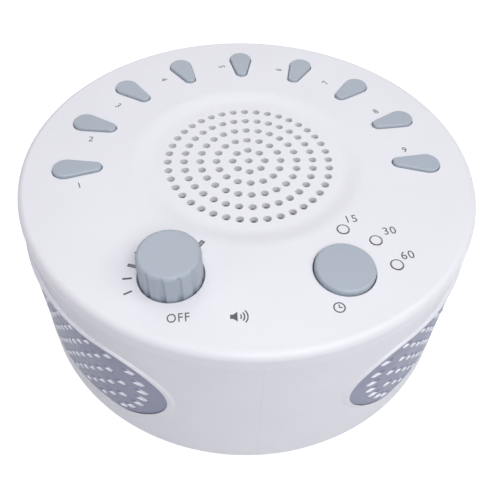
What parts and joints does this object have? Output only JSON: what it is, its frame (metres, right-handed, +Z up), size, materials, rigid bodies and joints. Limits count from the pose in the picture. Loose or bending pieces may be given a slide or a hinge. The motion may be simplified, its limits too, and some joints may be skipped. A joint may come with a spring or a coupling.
{
  "type": "sound machine",
  "caption": "Round table-top sound machine with a perforated speaker lid, radial sound keys, a fluted volume knob, a timer button with lamps and side windows.",
  "frame": {"origin": "centre of the drum on the surface it stands on", "axes": "+Z up, -Y the front with knob and button, +X to the right seen from the front"},
  "size_m": [0.144, 0.144, 0.0657],
  "materials": {
    "housing_plastic": "fine matt texture",
    "control_plastic": "satin",
    "grille_plastic": "satin",
    "lens_plastic": "clear white",
    "black_plastic": "matt",
    "circuit_board": "solder mask",
    "steel": "satin",
    "plated_metal": "bright",
    "brass_parts": "satin",
    "rubber_parts": "matt",
    "ferrite": "matt",
    "paper_cone": "matt",
    "grille_cloth": "fine woven",
    "copper_winding": "satin",
    "cell_sleeve": "gloss",
    "lead_sleeve": "satin"
  },
  "bodies": {
    "housing": {"top_cover": "housing_plastic", "side_wall": "housing_plastic", "base_plate": "housing_plastic", "battery_door": "housing_plastic", "side_grille_left": "grille_plastic", "side_grille_right": "grille_plastic", "light_guide": "lens_plastic", "potentiometer_body": "steel", "potentiometer_washer": "steel", "potentiometer_nut": "plated_metal", "timer_switch_body": "black_plastic", "sound_switch_bodies": "black_plastic", "key_board": "circuit_board", "control_board": "circuit_board", "board_parts": "black_plastic", "lamps": "lens_plastic", "small_screws": "steel", "base_screws": "steel", "speaker_basket": "steel", "speaker_gasket": "rubber_parts", "speaker_surround": "rubber_parts", "speaker_damper": "grille_cloth", "speaker_top_plate": "steel", "speaker_magnet": "ferrite", "speaker_yoke": "steel", "speaker_cloth": "grille_cloth", "battery_cells": "cell_sleeve", "battery_springs": "plated_metal", "battery_contacts": "plated_metal", "rubber_feet": "rubber_parts", "power_jack": "black_plastic", "power_jack_nut": "plated_metal", "leads": "lead_sleeve"},
    "volume": {"volume_knob": "control_plastic", "potentiometer_shaft": "brass_parts"},
    "timer": {"timer_button": "control_plastic", "timer_switch_plunger": "black_plastic"},
    "speaker_motion": {"speaker_cone": "paper_cone", "speaker_dust_cap": "paper_cone", "voice_coil": "copper_winding"},
    "key_1": {"sound_key_1": "control_plastic", "sound_switch_plunger_1": "black_plastic"},
    "key_2": {"sound_key_2": "control_plastic", "sound_switch_plunger_2": "black_plastic"},
    "key_3": {"sound_key_3": "control_plastic", "sound_switch_plunger_3": "black_plastic"},
    "key_4": {"sound_key_4": "control_plastic", "sound_switch_plunger_4": "black_plastic"},
    "key_5": {"sound_key_5": "control_plastic", "sound_switch_plunger_5": "black_plastic"},
    "key_6": {"sound_key_6": "control_plastic", "sound_switch_plunger_6": "black_plastic"},
    "key_7": {"sound_key_7": "control_plastic", "sound_switch_plunger_7": "black_plastic"},
    "key_8": {"sound_key_8": "control_plastic", "sound_switch_plunger_8": "black_plastic"},
    "key_9": {"sound_key_9": "control_plastic", "sound_switch_plunger_9": "black_plastic"}
  },
  "joints": [
    {"name": "volume_turn", "type": "hinge", "parent": "housing", "child": "volume", "pos_m": [-0.02233, -0.0444, 0.06], "axis": [0, 0, 1], "range_deg": [-227, 0]},
    {"name": "timer_press", "type": "slide", "parent": "housing", "child": "timer", "axis": [0, 0, 1], "range_m": [-0.0006, 0], "stiffness_N_per_m": 2500},
    {"name": "key_1_press", "type": "slide", "parent": "housing", "child": "key_1", "axis": [0, 0, 1], "range_m": [-0.0005, 0], "stiffness_N_per_m": 3000},
    {"name": "key_2_press", "type": "slide", "parent": "housing", "child": "key_2", "axis": [0, 0, 1], "range_m": [-0.0005, 0], "stiffness_N_per_m": 3000},
    {"name": "key_3_press", "type": "slide", "parent": "housing", "child": "key_3", "axis": [0, 0, 1], "range_m": [-0.0005, 0], "stiffness_N_per_m": 3000},
    {"name": "key_4_press", "type": "slide", "parent": "housing", "child": "key_4", "axis": [0, 0, 1], "range_m": [-0.0005, 0], "stiffness_N_per_m": 3000},
    {"name": "key_5_press", "type": "slide", "parent": "housing", "child": "key_5", "axis": [0, 0, 1], "range_m": [-0.0005, 0], "stiffness_N_per_m": 3000},
    {"name": "key_6_press", "type": "slide", "parent": "housing", "child": "key_6", "axis": [0, 0, 1], "range_m": [-0.0005, 0], "stiffness_N_per_m": 3000},
    {"name": "key_7_press", "type": "slide", "parent": "housing", "child": "key_7", "axis": [0, 0, 1], "range_m": [-0.0005, 0], "stiffness_N_per_m": 3000},
    {"name": "key_8_press", "type": "slide", "parent": "housing", "child": "key_8", "axis": [0, 0, 1], "range_m": [-0.0005, 0], "stiffness_N_per_m": 3000},
    {"name": "key_9_press", "type": "slide", "parent": "housing", "child": "key_9", "axis": [0, 0, 1], "range_m": [-0.0005, 0], "stiffness_N_per_m": 3000},
    {"name": "speaker_stroke", "type": "slide", "parent": "housing", "child": "speaker_motion", "axis": [0, 0, 1], "range_m": [-0.0008, 0.0008], "stiffness_N_per_m": 1200, "deforming": ["speaker_surround", "speaker_damper"]}
  ]
}
